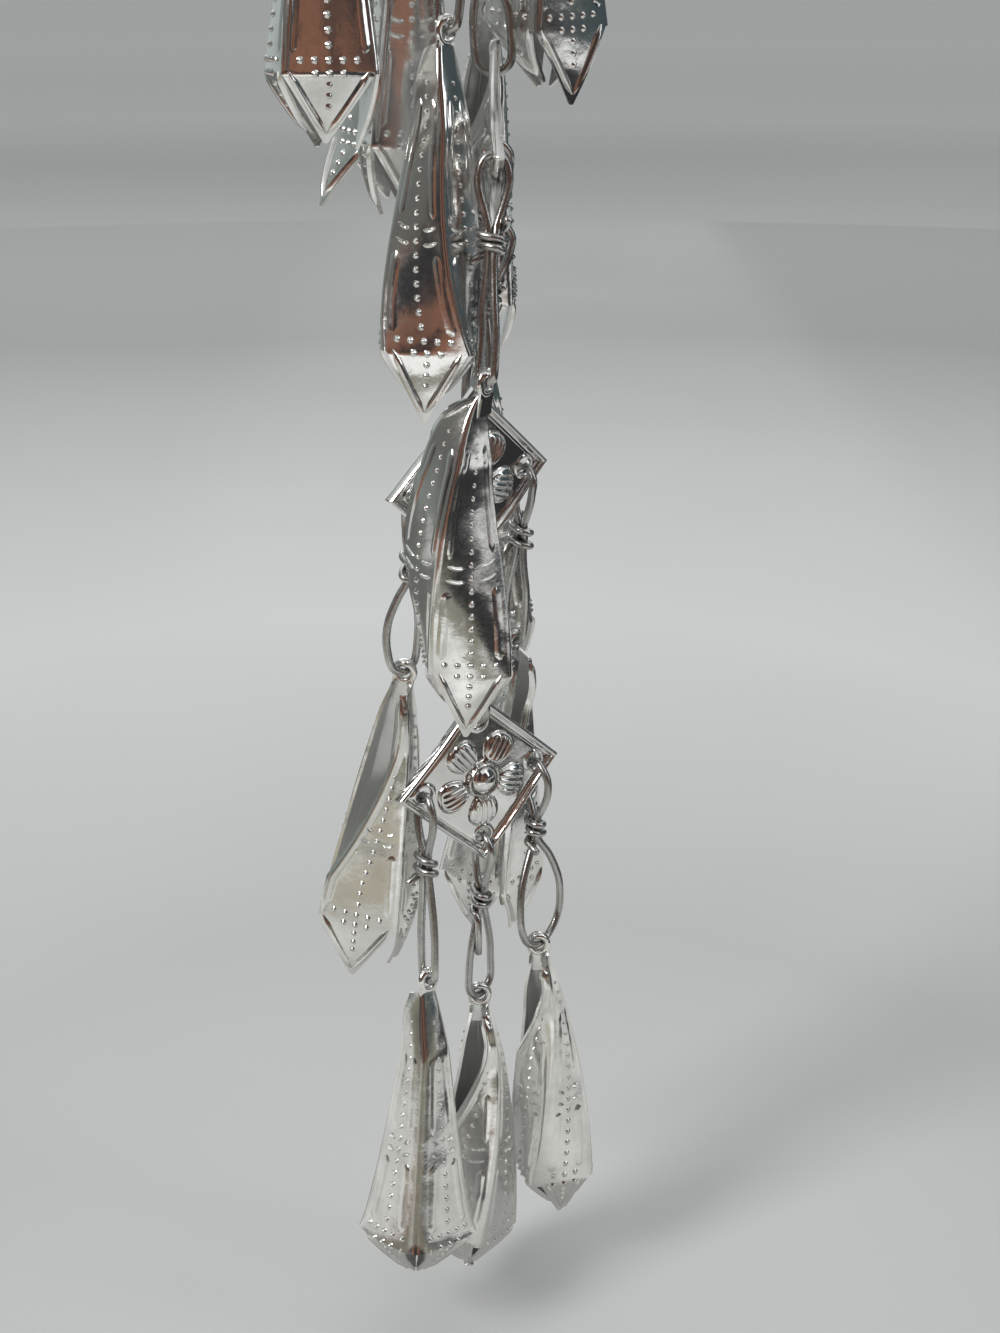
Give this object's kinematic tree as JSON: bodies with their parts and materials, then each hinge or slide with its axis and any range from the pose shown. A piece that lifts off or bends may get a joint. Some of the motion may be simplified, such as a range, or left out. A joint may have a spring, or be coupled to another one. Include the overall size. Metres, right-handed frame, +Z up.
{
  "type": "tassel hairpin",
  "caption": "Two-pronged hairpin with a long hanging tassel of square flower plates and hollow four-sided drops on twisted wire links.",
  "frame": {"origin": "midway between the two prongs, where they leave the head plate and enter the hair", "axes": "+Y along the prongs into the hair, +Z up, so the tassel hangs towards -Z; -Y faces the viewer of the flowers"},
  "size_m": [0.028, 0.0958, 0.1593],
  "materials": {
    "stamped_sheet": "bright stamped silver sheet, slightly rippled",
    "plate_sheet": "polished silver sheet",
    "wire": "soft silver wire, satin",
    "pin_metal": "plain silver-coloured metal, satin"
  },
  "bodies": {
    "root": {"hairpin": "pin_metal", "plate_1": "plate_sheet", "plate_2": "plate_sheet", "plate_3": "plate_sheet", "plate_4": "plate_sheet", "drop_1": "stamped_sheet", "drop_2": "stamped_sheet", "drop_3": "stamped_sheet", "drop_4": "stamped_sheet", "drop_5": "stamped_sheet", "drop_6": "stamped_sheet", "drop_7": "stamped_sheet", "drop_8": "stamped_sheet", "drop_9": "stamped_sheet", "drop_10": "stamped_sheet", "drop_11": "stamped_sheet", "drop_12": "stamped_sheet", "drop_13": "stamped_sheet", "link_1": "wire", "link_2": "wire", "link_3": "wire", "link_4": "wire", "link_5": "wire", "link_6": "wire", "link_7": "wire", "link_8": "wire", "link_9": "wire", "link_10": "wire", "link_11": "wire", "link_12": "wire", "link_13": "wire", "link_14": "wire", "link_15": "wire", "link_16": "wire", "link_17": "wire"}
  },
  "joints": []
}
